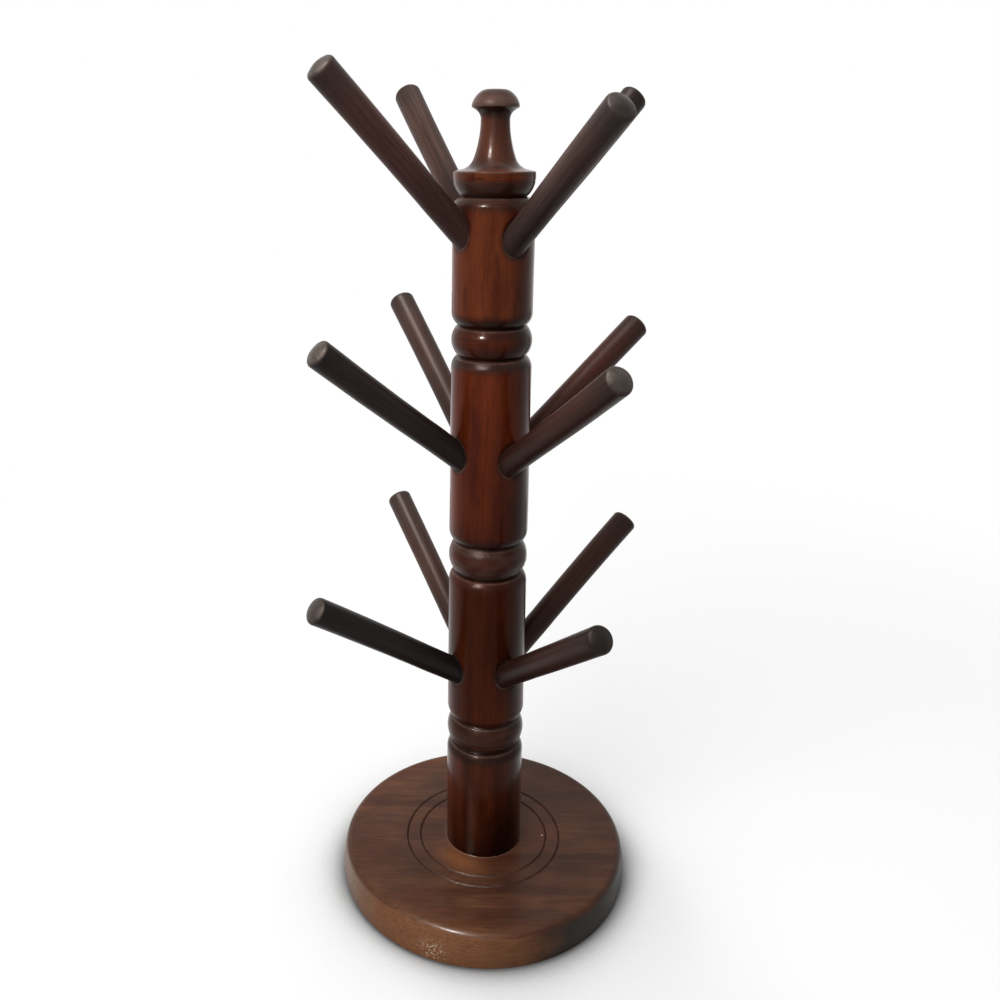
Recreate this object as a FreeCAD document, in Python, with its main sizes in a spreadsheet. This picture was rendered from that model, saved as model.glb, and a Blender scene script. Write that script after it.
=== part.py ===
import FreeCAD, Part
import os
import Sketcher

# Sizes of the mug rack in millimetres and degrees: name, value, meaning
SIZES = [
    ("base_radius", "85", "half of the width across the base, at the swell of its side"),
    ("base_thickness", "20", "thickness of the base"),
    ("base_swell", "0.6", "how far the side of the base swells past its upper and lower ends"),
    ("base_top_round", "4", "round along the top edge of the base"),
    ("base_foot_round", "2", "round along the bottom edge of the base"),
    ("ring_radius_inner", "37.8", "radius of the inner ring cut into the top of the base"),
    ("ring_radius_outer", "45.7", "radius of the outer ring cut into the top of the base"),
    ("ring_width", "1.6", "width of each ring at the surface"),
    ("ring_depth", "0.9", "depth of each ring"),
    ("post_length", "373.5", "from the top of the base to the seat of the finial"),
    ("post_foot_radius", "22.35", "radius of the post at the base"),
    ("post_head_radius", "20.45", "radius of the post at its head"),
    ("post_neck_radius", "16", "radius of the seat at the bottom of the groove under the finial"),
    ("post_head_round", "5.4", "height over which the head of the post rounds off to the neck"),
    ("tenon_radius", "13", "radius of the tenon at the foot of the post"),
    ("tenon_length", "10", "length of the tenon, and depth of its socket in the base"),
    ("tenon_fit", "0.1", "room for glue round the tenon"),
    ("notch_depth", "3.3", "depth of the notch on each side of a bead"),
    ("shoulder_height", "6.3", "height over which a section of the post rounds off to a notch"),
    ("bead_drop_upper", "70.5", "from the head of the post down to the middle of the upper bead"),
    ("bead_level_middle", "184.4", "middle of the middle bead above the base"),
    ("bead_level_lower", "76.5", "middle of the lower bead above the base"),
    ("bead_width_upper", "15.7", "from notch to notch across the upper bead"),
    ("bead_width_middle", "17.9", "from notch to notch across the middle bead"),
    ("bead_width_lower", "17", "from notch to notch across the lower bead"),
    ("spigot_radius", "6.5", "radius of the spigot under the finial"),
    ("spigot_length", "11", "length of the spigot, and depth of its bore in the post"),
    ("spigot_fit", "0.1", "room for glue round the spigot"),
    ("finial_height", "48", "from the seat of the finial to its top"),
    ("collar_radius", "20.2", "radius of the collar at its rim"),
    ("collar_height", "11.9", "from the seat to the top of the rim"),
    ("collar_band", "2.2", "height of the upright band at the rim"),
    ("rim_round", "0.6", "round along the upper edge of the rim"),
    ("stem_radius", "6.75", "radius of the stem where it is thinnest"),
    ("stem_level", "35", "height of the thinnest place above the seat"),
    ("flare_radius", "10.4", "radius of the stem where its long flare ends"),
    ("flare_level", "17.4", "height at which the long flare ends"),
    ("skirt_radius", "16", "radius at which the stem has run out onto the collar"),
    ("skirt_rise", "0.83", "how far the collar's top rises from its rim to the stem"),
    ("cap_radius", "11.1", "radius of the cap at its rim"),
    ("cap_height", "6.6", "height of the cap above its rim"),
    ("cap_lip", "0.5", "height of the small bevel under the cap's rim"),
    ("cap_flat_radius", "5.4", "radius of the flat on top of the cap"),
    ("peg_root_radius", "6.75", "radius of a peg in its hole"),
    ("peg_tip_radius", "7.3", "radius of a peg at its tip"),
    ("peg_tip_round", "2.2", "height of the round along the edge of a peg's end"),
    ("peg_tip_inset", "1.7", "how far that round comes in from the side of the peg"),
    ("peg_crown", "1.1", "how far a peg's end is domed"),
    ("peg_seat", "15", "from the middle of the post to the bottom of a hole, along the peg"),
    ("peg_fit", "0.2", "room round a peg in its hole"),
    ("peg_drop_upper", "35.2", "from the head of the post down to where the upper pegs' lines cross"),
    ("peg_level_middle", "227.4", "from the base up to where the middle pegs' lines cross"),
    ("peg_level_lower", "103.4", "from the base up to where the lower pegs' lines cross"),
    # The holes were drilled by eye, so each peg has a lean and a reach of its own
    ("lean_angle_upper_right", "44", "lean of the upper right peg above level"),
    ("reach_upper_right", "121.5", "from the middle of the post to the tip of the upper right peg"),
    ("lean_angle_upper_back", "44.5", "lean of the upper back peg above level"),
    ("reach_upper_back", "124.5", "from the middle of the post to the tip of the upper back peg"),
    ("lean_angle_upper_left", "45", "lean of the upper left peg above level"),
    ("reach_upper_left", "130", "from the middle of the post to the tip of the upper left peg"),
    ("lean_angle_upper_front", "39", "lean of the upper front peg above level"),
    ("reach_upper_front", "119", "from the middle of the post to the tip of the upper front peg"),
    ("lean_angle_middle_right", "37.5", "lean of the middle right peg above level"),
    ("reach_middle_right", "125", "from the middle of the post to the tip of the middle right peg"),
    ("lean_angle_middle_back", "40.5", "lean of the middle back peg above level"),
    ("reach_middle_back", "130", "from the middle of the post to the tip of the middle back peg"),
    ("lean_angle_middle_left", "39", "lean of the middle left peg above level"),
    ("reach_middle_left", "126.5", "from the middle of the post to the tip of the middle left peg"),
    ("lean_angle_middle_front", "36.7", "lean of the middle front peg above level"),
    ("reach_middle_front", "126", "from the middle of the post to the tip of the middle front peg"),
    ("lean_angle_lower_right", "39.5", "lean of the lower right peg above level"),
    ("reach_lower_right", "129.5", "from the middle of the post to the tip of the lower right peg"),
    ("lean_angle_lower_back", "38", "lean of the lower back peg above level"),
    ("reach_lower_back", "133.5", "from the middle of the post to the tip of the lower back peg"),
    ("lean_angle_lower_left", "35", "lean of the lower left peg above level"),
    ("reach_lower_left", "128", "from the middle of the post to the tip of the lower left peg"),
    ("lean_angle_lower_front", "37", "lean of the lower front peg above level"),
    ("reach_lower_front", "123.5", "from the middle of the post to the tip of the lower front peg"),
    ("screw_radius", "2.5", "radius of the screw"),
    ("screw_length", "42", "length of the screw with its head"),
    ("screw_point", "7", "length of the screw's point"),
    ("screw_head_radius", "5", "radius of the screw's countersunk head"),
    ("screw_head_angle", "90", "angle of the cone under the screw's head"),
    ("screw_sunk", "0.6", "how far the head lies above the underside of the base"),
    ("screw_fit", "0.1", "room round the screw"),
    ("slot_width", "1.3", "width of the slot in the screw's head"),
    ("slot_depth", "1.4", "depth of the slot in the screw's head"),
]

TIERS = ("upper", "middle", "lower")
# Bearing of each side, anticlockwise from +X as seen from above
BEARINGS = {"right": 0, "back": 90, "left": 180, "front": 270}
# Height above the base of each tier's bead, and of the point on the post's axis where its pegs' lines cross
BEAD_LEVELS = {
    "upper": "(Sizes.post_length - Sizes.bead_drop_upper)",
    "middle": "Sizes.bead_level_middle",
    "lower": "Sizes.bead_level_lower",
}
PEG_LEVELS = {
    "upper": "(Sizes.post_length - Sizes.peg_drop_upper)",
    "middle": "Sizes.peg_level_middle",
    "lower": "Sizes.peg_level_lower",
}

# How one corner of an outline runs on to the next
STRAIGHT = "straight"
LEAVES_UPRIGHT = "round, upright where it starts"
ARRIVES_UPRIGHT = "round, upright where it ends"
ARRIVES_LEVEL = "round, level where it ends"
CARRIES_ON = "round, in line with the run before it"

PARTS_FOLDER = "parts"

doc = FreeCAD.newDocument("MugRack")
sheet = doc.addObject("Spreadsheet::Sheet", "Sizes")
gauge = doc.addObject("App::FeaturePython", "Gauge")
gauge.addProperty("App::PropertyFloat", "reading")


def fill_sheet():
    for row, (alias, value, meaning) in enumerate(SIZES, start=1):
        sheet.set(f"A{row}", meaning)
        sheet.set(f"B{row}", value)
        sheet.setAlias(f"B{row}", alias)
    doc.recompute()


def number(formula):
    """What a formula of the sheet comes to."""
    gauge.setExpression("reading", formula)
    gauge.recompute()
    return gauge.reading


def new_body(label):
    body = doc.addObject("PartDesign::Body", label)
    body.Label = label
    return body


def plane_of(body, role):
    return next(feature for feature in body.Origin.OriginFeatures if feature.Role == role)


def new_sketch(body, name, role):
    sketch = body.newObject("Sketcher::SketchObject", name)
    sketch.AttachmentSupport = [(plane_of(body, role), "")]
    sketch.MapMode = "FlatFace"
    return sketch


def frame_at(x, y, z, axis, angle):
    """Formula of a place: a point, and a turn about an axis through it."""
    point = f"create(<<vector>>; {x}; {y}; {z})"
    turn = f"create(<<rotation>>; create(<<vector>>; {axis[0]}; {axis[1]}; {axis[2]}); {angle})"
    return f"create(<<placement>>; {point}; {turn})"


def bind(sketch, kind, geometry, end, value, formula, name):
    """Distance of a corner from the sketch's origin, from a formula of the sheet."""
    index = sketch.addConstraint(Sketcher.Constraint(kind, -1, 1, geometry, end, value))
    sketch.renameConstraint(index, name)
    sketch.setExpression(f"Constraints.{name}", formula)


def arc_centre(run, start, end, heading):
    if run == CARRIES_ON:
        chord = end - start
        side = FreeCAD.Vector(-heading.y, heading.x, 0)
        return start + side * (chord.dot(chord) / (2 * chord.dot(side)))
    if run == ARRIVES_LEVEL:
        step = start - end
        return end + FreeCAD.Vector(0, step.dot(step) / (2 * step.y), 0)
    upright, other = (start, end) if run == LEAVES_UPRIGHT else (end, start)
    step = other - upright
    return upright + FreeCAD.Vector(step.dot(step) / (2 * step.x), 0, 0)


def outline(body, name, corners):
    """Closed half-outline beside the upright axis. A corner is a radius, a height and a run to the next."""
    sketch = new_sketch(body, name, "XZ_Plane")
    points = [FreeCAD.Vector(number(radius), number(height), 0) for radius, height, _ in corners]
    ends = []
    heading = None
    for index, (_, _, run) in enumerate(corners):
        start, end = points[index], points[(index + 1) % len(points)]
        if run == STRAIGHT:
            sketch.addGeometry(Part.LineSegment(start, end))
            ends.append((1, 2))
            heading = (end - start).normalize()
            continue
        centre = arc_centre(run, start, end, heading)
        leftward = (start - centre).cross(end - centre).z > 0
        first, last = (start, end) if leftward else (end, start)
        circle = Part.Circle(centre, FreeCAD.Vector(0, 0, 1), (start - centre).Length)
        sketch.addGeometry(Part.ArcOfCircle(circle, circle.parameter(first), circle.parameter(last)))
        ends.append((1, 2) if leftward else (2, 1))
        spoke = (end - centre).normalize()
        heading = FreeCAD.Vector(-spoke.y, spoke.x, 0) * (1 if leftward else -1)
    for index, (radius, height, run) in enumerate(corners):
        start_end = ends[index][0]
        joint = (index - 1) % len(corners), ends[index - 1][1], index, start_end
        sketch.addConstraint(Sketcher.Constraint("Tangent" if run == CARRIES_ON else "Coincident", *joint))
        if radius == "0":
            sketch.addConstraint(Sketcher.Constraint("PointOnObject", index, start_end, -2))
        else:
            bind(sketch, "DistanceX", index, start_end, points[index].x, radius, f"radius_{index}")
        if height == "0":
            sketch.addConstraint(Sketcher.Constraint("PointOnObject", index, start_end, -1))
        else:
            bind(sketch, "DistanceY", index, start_end, points[index].y, height, f"height_{index}")
        if run == LEAVES_UPRIGHT:
            sketch.addConstraint(Sketcher.Constraint("Horizontal", index, 3, index, start_end))
        if run == ARRIVES_UPRIGHT:
            sketch.addConstraint(Sketcher.Constraint("Horizontal", index, 3, index, ends[index][1]))
        if run == ARRIVES_LEVEL:
            sketch.addConstraint(Sketcher.Constraint("Vertical", index, 3, index, ends[index][1]))
    return sketch


def turned(body, name, corners, kind="PartDesign::Revolution"):
    """Outline turned about the body's upright axis, as a solid or as a cut."""
    sketch = outline(body, f"{name}_outline", corners)
    feature = body.newObject(kind, name)
    feature.Profile = sketch
    feature.ReferenceAxis = (sketch, ["V_Axis"])
    feature.Angle = 360
    doc.recompute()
    return feature


def bore(body, name, radius, depth, frame):
    """Round hole that starts at the origin of a frame and runs along its Z axis."""
    volume = body.Shape.Volume
    hole = body.newObject("PartDesign::SubtractiveCylinder", name)
    hole.AttachmentSupport = [(plane_of(body, "XY_Plane"), "")]
    hole.MapMode = "FlatFace"
    hole.setExpression("Radius", radius)
    hole.setExpression("Height", depth)
    hole.setExpression("AttachmentOffset", frame)
    doc.recompute()
    if not body.Shape.Volume < volume:
        raise ValueError(f"{name} cuts nothing")


def upright_frame(height):
    return frame_at("0", "0", height, (0, 0, 1), "0")


def make_base():
    body = new_body("base")
    side = "(Sizes.base_radius - Sizes.base_swell)"
    side_low = "Sizes.base_foot_round"
    side_high = "(Sizes.base_thickness - Sizes.base_top_round)"
    turned(body, "board", [
        ("0", "0", STRAIGHT),
        (f"{side} - Sizes.base_foot_round", "0", ARRIVES_UPRIGHT),
        (side, side_low, ARRIVES_UPRIGHT),
        ("Sizes.base_radius", f"({side_low} + {side_high}) / 2", LEAVES_UPRIGHT),
        (side, side_high, LEAVES_UPRIGHT),
        (f"{side} - Sizes.base_top_round", "Sizes.base_thickness", STRAIGHT),
        ("0", "Sizes.base_thickness", STRAIGHT),
    ])
    for ring in ("inner", "outer"):
        middle = f"Sizes.ring_radius_{ring}"
        turned(body, f"ring_{ring}", [
            (f"{middle} - Sizes.ring_width / 2", "Sizes.base_thickness", STRAIGHT),
            (middle, "Sizes.base_thickness - Sizes.ring_depth", STRAIGHT),
            (f"{middle} + Sizes.ring_width / 2", "Sizes.base_thickness", STRAIGHT),
        ], "PartDesign::Groove")
    bore(body, "socket", "Sizes.tenon_radius + Sizes.tenon_fit", "Sizes.tenon_length",
         upright_frame("Sizes.base_thickness - Sizes.tenon_length"))
    spot = new_sketch(body, "screw_spot", "XY_Plane")
    spot.addGeometry(Part.Circle(FreeCAD.Vector(), FreeCAD.Vector(0, 0, 1), number("Sizes.screw_radius")))
    spot.addConstraint(Sketcher.Constraint("Coincident", 0, 3, -1, 1))
    spot.addConstraint(Sketcher.Constraint("Radius", 0, number("Sizes.screw_radius")))
    spot.setExpression("Constraints[1]", "Sizes.screw_radius")
    doc.recompute()
    volume = body.Shape.Volume
    hole = body.newObject("PartDesign::Hole", "screw_hole")
    hole.Profile = spot
    doc.recompute()
    hole.Reversed = True
    hole.DepthType = "ThroughAll"
    hole.HoleCutType = "Countersink"
    hole.HoleCutCustomValues = True
    mouth = "Sizes.screw_head_radius + Sizes.screw_fit + Sizes.screw_sunk * tan(Sizes.screw_head_angle / 2)"
    hole.setExpression("HoleCutCountersinkAngle", "Sizes.screw_head_angle")
    hole.setExpression("Diameter", "2 * (Sizes.screw_radius + Sizes.screw_fit)")
    hole.setExpression("HoleCutDiameter", f"2 * ({mouth})")
    doc.recompute()
    if not body.Shape.Volume < volume:
        raise ValueError("the screw hole cuts nothing")
    body.setExpression("Placement", upright_frame("0"))
    return body


def post_radius(height):
    """Formula of the post's radius, which tapers from its foot to its head, at a height above the base."""
    fall = "(Sizes.post_foot_radius - Sizes.post_head_radius)"
    return f"(Sizes.post_foot_radius - {fall} * ({height}) / Sizes.post_length)"


def make_post(tenon_bottom):
    body = new_body("post")

    def corner(height, run, inward="0"):
        return f"{post_radius(height)} - {inward}", f"Sizes.tenon_length + {height}", run

    corners = [
        ("0", "0", STRAIGHT),
        ("Sizes.tenon_radius", "0", STRAIGHT),
        ("Sizes.tenon_radius", "Sizes.tenon_length", STRAIGHT),
        ("Sizes.post_foot_radius", "Sizes.tenon_length", STRAIGHT),
    ]
    for tier in reversed(TIERS):
        middle = BEAD_LEVELS[tier]
        half = f"Sizes.bead_width_{tier} / 2"
        corners += [
            corner(f"({middle} - {half} - Sizes.shoulder_height)", LEAVES_UPRIGHT),
            corner(f"({middle} - {half})", ARRIVES_UPRIGHT, "Sizes.notch_depth"),
            corner(middle, LEAVES_UPRIGHT),
            corner(f"({middle} + {half})", ARRIVES_UPRIGHT, "Sizes.notch_depth"),
            corner(f"({middle} + {half} + Sizes.shoulder_height)", STRAIGHT),
        ]
    corners += [
        corner("(Sizes.post_length - Sizes.post_head_round)", LEAVES_UPRIGHT),
        ("Sizes.post_neck_radius", "Sizes.tenon_length + Sizes.post_length", STRAIGHT),
        ("0", "Sizes.tenon_length + Sizes.post_length", STRAIGHT),
    ]
    turned(body, "turning", corners)
    bore(body, "finial_bore", "Sizes.spigot_radius + Sizes.spigot_fit", "Sizes.spigot_length",
         upright_frame("Sizes.tenon_length + Sizes.post_length - Sizes.spigot_length"))
    bore(body, "screw_bore", "Sizes.screw_radius + Sizes.screw_fit", screw_bite(), upright_frame("0"))
    for tier in TIERS:
        for side in BEARINGS:
            bore(body, f"hole_{tier}_{side}", "Sizes.peg_root_radius + Sizes.peg_fit",
                 peg_tenon(tier, side), peg_frame(tier, side, "Sizes.tenon_length"))
    body.setExpression("Placement", upright_frame(tenon_bottom))
    return body


def screw_bite():
    """Formula of the length of the screw inside the post, with room beyond its point."""
    tenon_bottom = "(Sizes.base_thickness - Sizes.tenon_length)"
    return f"(Sizes.screw_sunk + Sizes.screw_length + Sizes.screw_fit - {tenon_bottom})"


def make_finial(seat):
    body = new_body("finial")

    def above_seat(height):
        return f"Sizes.spigot_length + {height}"

    rim_low = "Sizes.collar_height - Sizes.rim_round"
    cap_rim = "Sizes.finial_height - Sizes.cap_height"
    turned(body, "turning", [
        ("0", "0", STRAIGHT),
        ("Sizes.spigot_radius", "0", STRAIGHT),
        ("Sizes.spigot_radius", above_seat("0"), STRAIGHT),
        ("Sizes.post_neck_radius", above_seat("0"), ARRIVES_UPRIGHT),
        ("Sizes.collar_radius", above_seat(f"{rim_low} - Sizes.collar_band"), STRAIGHT),
        ("Sizes.collar_radius", above_seat(rim_low), LEAVES_UPRIGHT),
        ("Sizes.collar_radius - Sizes.rim_round", above_seat("Sizes.collar_height"), STRAIGHT),
        ("Sizes.skirt_radius", above_seat("Sizes.collar_height + Sizes.skirt_rise"), CARRIES_ON),
        ("Sizes.flare_radius", above_seat("Sizes.flare_level"), ARRIVES_UPRIGHT),
        ("Sizes.stem_radius", above_seat("Sizes.stem_level"), LEAVES_UPRIGHT),
        ("Sizes.cap_radius - Sizes.cap_lip", above_seat(f"{cap_rim} - Sizes.cap_lip"), STRAIGHT),
        ("Sizes.cap_radius", above_seat(cap_rim), LEAVES_UPRIGHT),
        ("Sizes.cap_flat_radius", above_seat("Sizes.finial_height"), STRAIGHT),
        ("0", above_seat("Sizes.finial_height"), STRAIGHT),
    ])
    body.setExpression("Placement", upright_frame(f"{seat} - Sizes.spigot_length"))
    return body


def peg_frame(tier, side, base_top):
    """Frame of a peg: its origin at the bottom of its hole, its Z axis along the peg."""
    lean = f"Sizes.lean_angle_{tier}_{side}"
    bearing = BEARINGS[side]
    outward = f"Sizes.peg_seat * cos({lean})"
    east, north = f"cos({bearing})", f"sin({bearing})"
    level = f"{base_top} + {PEG_LEVELS[tier]} + Sizes.peg_seat * sin({lean})"
    axis = (f"-{north}", east, "0")
    return frame_at(f"{outward} * {east}", f"{outward} * {north}", level, axis, f"90 - {lean}")


def peg_tenon(tier, side):
    """Formula of the straight length of a peg, from the bottom of its hole to clear of the post."""
    lean = f"Sizes.lean_angle_{tier}_{side}"
    hole_radius = "(Sizes.peg_root_radius + Sizes.peg_fit)"
    return f"((Sizes.post_foot_radius + {hole_radius} * sin({lean})) / cos({lean}) - Sizes.peg_seat)"


def make_peg(tier, side):
    body = new_body(f"peg_{tier}_{side}")
    length = f"(Sizes.reach_{tier}_{side} - Sizes.peg_seat)"
    turned(body, "turning", [
        ("0", "0", STRAIGHT),
        ("Sizes.peg_root_radius", "0", STRAIGHT),
        ("Sizes.peg_root_radius", peg_tenon(tier, side), STRAIGHT),
        ("Sizes.peg_tip_radius", f"{length} - Sizes.peg_crown - Sizes.peg_tip_round", LEAVES_UPRIGHT),
        ("Sizes.peg_tip_radius - Sizes.peg_tip_inset", f"{length} - Sizes.peg_crown", ARRIVES_LEVEL),
        ("0", length, STRAIGHT),
    ])
    body.setExpression("Placement", peg_frame(tier, side, "Sizes.base_thickness"))
    return body


def make_screw():
    body = new_body("base_screw")
    head_height = "(Sizes.screw_head_radius - Sizes.screw_radius) / tan(Sizes.screw_head_angle / 2)"
    turned(body, "blank", [
        ("0", "0", STRAIGHT),
        ("Sizes.screw_head_radius", "0", STRAIGHT),
        ("Sizes.screw_radius", head_height, STRAIGHT),
        ("Sizes.screw_radius", "Sizes.screw_length - Sizes.screw_point", STRAIGHT),
        ("0", "Sizes.screw_length", STRAIGHT),
    ])
    slot = body.newObject("PartDesign::SubtractiveBox", "slot")
    slot.AttachmentSupport = [(plane_of(body, "XY_Plane"), "")]
    slot.MapMode = "FlatFace"
    slot.setExpression("Length", "2 * Sizes.screw_head_radius")
    slot.setExpression("Width", "Sizes.slot_width")
    slot.setExpression("Height", "Sizes.slot_depth")
    corner = frame_at("-Sizes.screw_head_radius", "-Sizes.slot_width / 2", "0", (0, 0, 1), "0")
    slot.setExpression("AttachmentOffset", corner)
    body.setExpression("Placement", upright_frame("Sizes.screw_sunk"))
    return body


def check_document():
    for item in doc.Objects:
        if "Invalid" in item.State or "Error" in item.State:
            raise ValueError(f"{item.Name} failed: {item.State}")


def export(bodies):
    os.makedirs(PARTS_FOLDER, exist_ok=True)
    for body in bodies:
        body.Shape.exportStep(f"{PARTS_FOLDER}/{body.Label}.step")


fill_sheet()
pieces = [
    make_base(),
    make_post("Sizes.base_thickness - Sizes.tenon_length"),
    make_finial("Sizes.base_thickness + Sizes.post_length"),
    make_screw(),
]
pieces += [make_peg(tier, side) for tier in TIERS for side in BEARINGS]
doc.removeObject(gauge.Name)
doc.recompute()
check_document()
for piece in pieces:
    if piece.Shape.isNull() or not piece.Shape.isValid() or len(piece.Shape.Solids) != 1:
        raise ValueError(f"{piece.Label} is not one valid solid")
    box = piece.Shape.BoundBox
    print(f"{piece.Label}: {piece.Shape.Volume:.0f} mm3, z {box.ZMin:.2f} to {box.ZMax:.2f}")
export(pieces)
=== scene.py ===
import math
from types import SimpleNamespace

import bpy
import numpy as np
from mathutils import Euler, Matrix, Vector, noise


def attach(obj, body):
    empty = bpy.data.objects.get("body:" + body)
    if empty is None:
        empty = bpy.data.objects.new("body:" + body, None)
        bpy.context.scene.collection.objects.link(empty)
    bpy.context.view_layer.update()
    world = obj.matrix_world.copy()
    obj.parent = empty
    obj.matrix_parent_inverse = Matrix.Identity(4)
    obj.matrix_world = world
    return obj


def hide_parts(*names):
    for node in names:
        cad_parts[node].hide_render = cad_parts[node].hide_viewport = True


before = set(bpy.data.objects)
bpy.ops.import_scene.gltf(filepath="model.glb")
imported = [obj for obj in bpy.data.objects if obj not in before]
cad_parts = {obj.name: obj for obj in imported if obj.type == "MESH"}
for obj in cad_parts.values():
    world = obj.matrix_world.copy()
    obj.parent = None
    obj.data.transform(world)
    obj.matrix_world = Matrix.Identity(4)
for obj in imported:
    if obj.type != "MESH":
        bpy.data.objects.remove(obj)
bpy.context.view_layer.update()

MM = 0.001
BODY = "root"

# Camera at the photograph's viewing angle
CAMERA_PLACE = Vector((-0.2686, -0.4038, 0.4144))
CAMERA_TILT = math.radians(72.042)
CAMERA_HEADING = math.radians(-30.705)
CAMERA_ROLL = math.radians(0.095)
CAMERA_LENS = 34.41
CAMERA_SHIFT = (0.0569, -0.0389)

TIERS = ("upper", "middle", "lower")
SIDES = ("right", "back", "left", "front")
PEG_NODES = [f"peg_{tier}_{side}" for tier in TIERS for side in SIDES]


# Shader helpers: a node joins the tree of its linked inputs, unless it is given one


def add(kind, inputs, tree=None, **settings):
    """A node with its settings, its constant inputs set and its linked inputs joined."""
    linked = {key: value for key, value in inputs.items() if isinstance(value, bpy.types.NodeSocket)}
    tree = tree or next(iter(linked.values())).id_data
    made = tree.nodes.new("ShaderNode" + kind)
    for key, value in settings.items():
        setattr(made, key, value)
    for key, value in inputs.items():
        socket = made.inputs[key]
        if key in linked:
            tree.links.new(value, socket)
        else:
            socket.default_value = (*value, 1.0) if socket.type == "RGBA" else value
    return made


def new_material(name):
    material = bpy.data.materials.new(name)
    material.use_nodes = True
    material.node_tree.nodes.clear()
    return material, material.node_tree


def attribute(tree, name, output="Fac"):
    return add("Attribute", {}, tree, attribute_name=name).outputs[output]


def vector_maths(operation, *values, output=0):
    return add("VectorMath", dict(enumerate(values)), operation=operation).outputs[output]


def soft_noise(vector, scale, detail=3.0, roughness=0.5, output="Fac"):
    """Noise with features of about one over the scale along each axis."""
    texture = add("TexNoise", {
        "Vector": vector_maths("MULTIPLY", vector, scale),
        "Scale": 1.0,
        "Detail": detail,
        "Roughness": roughness,
    })
    return texture.outputs[output]


def ranged(value, low, high, to_low=0.0, to_high=1.0):
    """A value's smooth passage from one range to another."""
    inputs = {"Value": value, "From Min": low, "From Max": high, "To Min": to_low, "To Max": to_high}
    return add("MapRange", inputs, interpolation_type="SMOOTHSTEP").outputs["Result"]


def maths(operation, *values):
    return add("Math", dict(enumerate(values)), operation=operation).outputs[0]


def times(value, factor):
    return maths("MULTIPLY", value, factor)


def weighed(*pairs):
    """Sum of sockets, each times its weight."""
    total = 0.0
    for socket, weight in pairs:
        total = maths("MULTIPLY_ADD", socket, weight, total)
    return total


def blend(factor, first, second, how="MIX"):
    """Colour between two colours, each red, green and blue or a socket."""
    inputs = {0: factor, 6: first, 7: second}
    return add("Mix", inputs, data_type="RGBA", blend_type=how).outputs[2]


def scaled(shade, factor):
    return add("VectorMath", {0: shade, "Scale": factor}, operation="SCALE").outputs[0]


def stained(wood, layers):
    """Wood under painted layers, each given by its name, its strength and its colour."""
    for name, strength, shade in layers:
        wood = blend(times(attribute(wood.id_data, name), strength), wood, shade)
    return wood


def bumped(height, strength, distance):
    inputs = {"Height": height, "Strength": strength, "Distance": distance}
    return add("Bump", inputs).outputs["Normal"]


def finished(settings):
    shader = add("BsdfPrincipled", settings)
    add("OutputMaterial", {"Surface": shader.outputs[0]})


# Outlines of turned pieces, as pairs of radius and height

CORNER_ANGLE = math.radians(28)
SHARP_ANGLE = math.radians(40)
STRAIGHT_RATIO = 3.0
RING_VERTICES = 12
PLACE_DIGITS = 7
SAME_PLACE = 0.004 * MM
SAME_SIZE = 0.01 * MM
ON_AXIS = 0.0001 * MM
LONG_STEP = 3.0 * MM


def clusters(values):
    """Groups of indices of equal values, from low to high."""
    order = np.argsort(values)
    breaks = np.nonzero(np.diff(values[order]) > SAME_PLACE)[0] + 1
    return np.split(order, breaks)


def level_rings(points):
    """Rings of vertices round the Z axis, as radius and height, from low to high and from inside out."""
    radius = from_axis(points)
    rings = []
    for level in clusters(points[:, 2]):
        for ring in clusters(radius[level]):
            if len(ring) >= RING_VERTICES:
                rings.append((radius[level][ring].mean(), points[level, 2].mean()))
    return rings


def node_points(node):
    places = np.array([vertex.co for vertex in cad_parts[node].data.vertices])
    return np.unique(np.round(places, PLACE_DIGITS), axis=0)


def heading_at(before, after):
    """Direction of an outline between two steps, where a much longer step keeps its own."""
    long_before, long_after = np.hypot(*before), np.hypot(*after)
    if long_before > STRAIGHT_RATIO * long_after:
        return before / long_before
    if long_after > STRAIGHT_RATIO * long_before:
        return after / long_after
    mean = before / long_before * long_after + after / long_after * long_before
    return mean / np.hypot(*mean)


def refined(outline, fine, coarse):
    """The outline with more points, round where it is round, sharp at corners and coarse in long steps."""
    points = np.array(outline, float)
    steps = np.diff(points, axis=0)
    leave, arrive = [], []
    for before, after in zip((steps[0], *steps), (*steps, steps[-1])):
        cosine = before @ after / (np.hypot(*before) * np.hypot(*after))
        corner = math.acos(max(-1.0, min(1.0, cosine))) > CORNER_ANGLE
        smooth = heading_at(before, after)
        leave.append(after / np.hypot(*after) if corner else smooth)
        arrive.append(before / np.hypot(*before) if corner else smooth)
    finer = [points[0]]
    for index, change in enumerate(steps):
        length = np.hypot(*change)
        count = max(1, round(length / (coarse if length > LONG_STEP else fine)))
        for part in range(1, count + 1):
            t = part / count
            hermite = (
                (2 * t**3 - 3 * t**2 + 1) * points[index]
                + (t**3 - 2 * t**2 + t) * length * leave[index]
                + (3 * t**2 - 2 * t**3) * points[index + 1]
                + (t**3 - t**2) * length * arrive[index + 1]
            )
            finer.append(hermite)
    return np.array(finer)


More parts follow.
